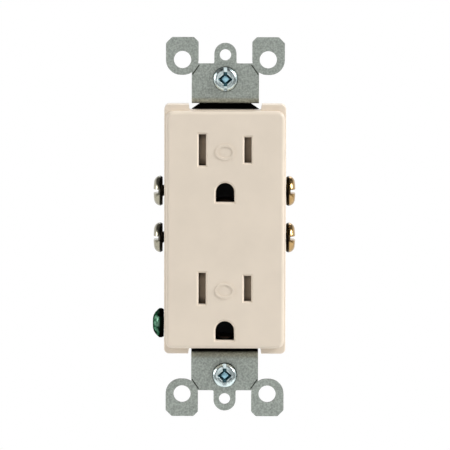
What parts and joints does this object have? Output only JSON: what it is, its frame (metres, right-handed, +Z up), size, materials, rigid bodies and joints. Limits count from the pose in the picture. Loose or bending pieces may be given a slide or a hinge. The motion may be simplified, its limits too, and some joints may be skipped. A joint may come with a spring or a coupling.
{
  "type": "duplex wall outlet",
  "caption": "Rectangular-face duplex wall receptacle with shuttered blade slots and ground holes, side terminal screws, plaster ears and captive mounting screws on a steel strap.",
  "frame": {"origin": "on the wall plane, the back of the ears, midway between the two mounting screws", "axes": "+X to the right of a person facing the wall, +Y into the wall, +Z up"},
  "size_m": [0.0403, 0.0381, 0.1066],
  "materials": {
    "almond_plastic": "satin",
    "black_thermoset": "matt",
    "galvanised_steel": "galvanised",
    "brass_sheet": "satin",
    "nickel_plate": "bright",
    "spring_steel": "satin",
    "taupe_nylon": "matt",
    "natural_nylon": "matt",
    "red_fibre": "matt",
    "zinc_plate": "bright",
    "brass_screw": "bright",
    "nickel_screw": "bright",
    "green_screw": "gloss"
  },
  "bodies": {
    "outlet": {"face_cover": "almond_plastic", "back_body": "black_thermoset", "mounting_strap": "galvanised_steel", "ground_contact_upper": "brass_sheet", "ground_contact_lower": "brass_sheet", "ground_rivets": "nickel_plate", "line_bus": "brass_sheet", "neutral_bus": "nickel_plate", "line_push_in_clip_upper": "spring_steel", "line_push_in_clip_lower": "spring_steel", "neutral_push_in_clip_upper": "spring_steel", "neutral_push_in_clip_lower": "spring_steel", "shutter_carrier_upper": "natural_nylon", "shutter_carrier_lower": "natural_nylon", "shutter_spring_upper": "spring_steel", "shutter_spring_lower": "spring_steel", "case_screws": "zinc_plate"},
    "shutter_upper": {"shutter_upper": "taupe_nylon"},
    "shutter_lower": {"shutter_lower": "taupe_nylon"},
    "line_screw_upper": {"line_screw_upper": "brass_screw"},
    "line_screw_lower": {"line_screw_lower": "brass_screw"},
    "neutral_screw_upper": {"neutral_screw_upper": "nickel_screw"},
    "neutral_screw_lower": {"neutral_screw_lower": "nickel_screw"},
    "ground_screw": {"ground_screw": "green_screw"},
    "screw_retainer_top": {"screw_retainer_top": "red_fibre"},
    "mounting_screw_top": {"mounting_screw_top": "zinc_plate"},
    "screw_retainer_bottom": {"screw_retainer_bottom": "red_fibre"},
    "mounting_screw_bottom": {"mounting_screw_bottom": "zinc_plate"}
  },
  "joints": [
    {"name": "shutter_upper_slide", "type": "slide", "parent": "outlet", "child": "shutter_upper", "axis": [1, 0, 0], "range_m": [0, 0.0029], "stiffness_N_per_m": 100, "springref_m": -0.002, "deforming": ["shutter_spring_upper"]},
    {"name": "shutter_lower_slide", "type": "slide", "parent": "outlet", "child": "shutter_lower", "axis": [1, 0, 0], "range_m": [0, 0.0029], "stiffness_N_per_m": 100, "springref_m": -0.002, "deforming": ["shutter_spring_lower"]},
    {"name": "line_screw_upper_travel", "type": "slide", "parent": "outlet", "child": "line_screw_upper", "axis": [1, 0, 0], "range_m": [-0.00035, 0.0016]},
    {"name": "line_screw_lower_travel", "type": "slide", "parent": "outlet", "child": "line_screw_lower", "axis": [1, 0, 0], "range_m": [-0.00035, 0.0016]},
    {"name": "neutral_screw_upper_travel", "type": "slide", "parent": "outlet", "child": "neutral_screw_upper", "axis": [-1, 0, 0], "range_m": [-0.0007, 0.0016]},
    {"name": "neutral_screw_lower_travel", "type": "slide", "parent": "outlet", "child": "neutral_screw_lower", "axis": [-1, 0, 0], "range_m": [-0.0007, 0.0016]},
    {"name": "ground_screw_travel", "type": "slide", "parent": "outlet", "child": "ground_screw", "axis": [-1, 0, 0], "range_m": [-0.00035, 0.0016]},
    {"name": "mounting_screw_top_play", "type": "slide", "parent": "outlet", "child": "screw_retainer_top", "axis": [0, -1, 0], "range_m": [0, 0.0025]},
    {"name": "mounting_screw_top_turn", "type": "hinge", "parent": "screw_retainer_top", "child": "mounting_screw_top", "pos_m": [0, 0.003, 0.04167], "axis": [0, 1, 0], "continuous": true},
    {"name": "mounting_screw_bottom_play", "type": "slide", "parent": "outlet", "child": "screw_retainer_bottom", "axis": [0, -1, 0], "range_m": [0, 0.0025]},
    {"name": "mounting_screw_bottom_turn", "type": "hinge", "parent": "screw_retainer_bottom", "child": "mounting_screw_bottom", "pos_m": [0, 0.003, -0.04167], "axis": [0, 1, 0], "continuous": true}
  ]
}
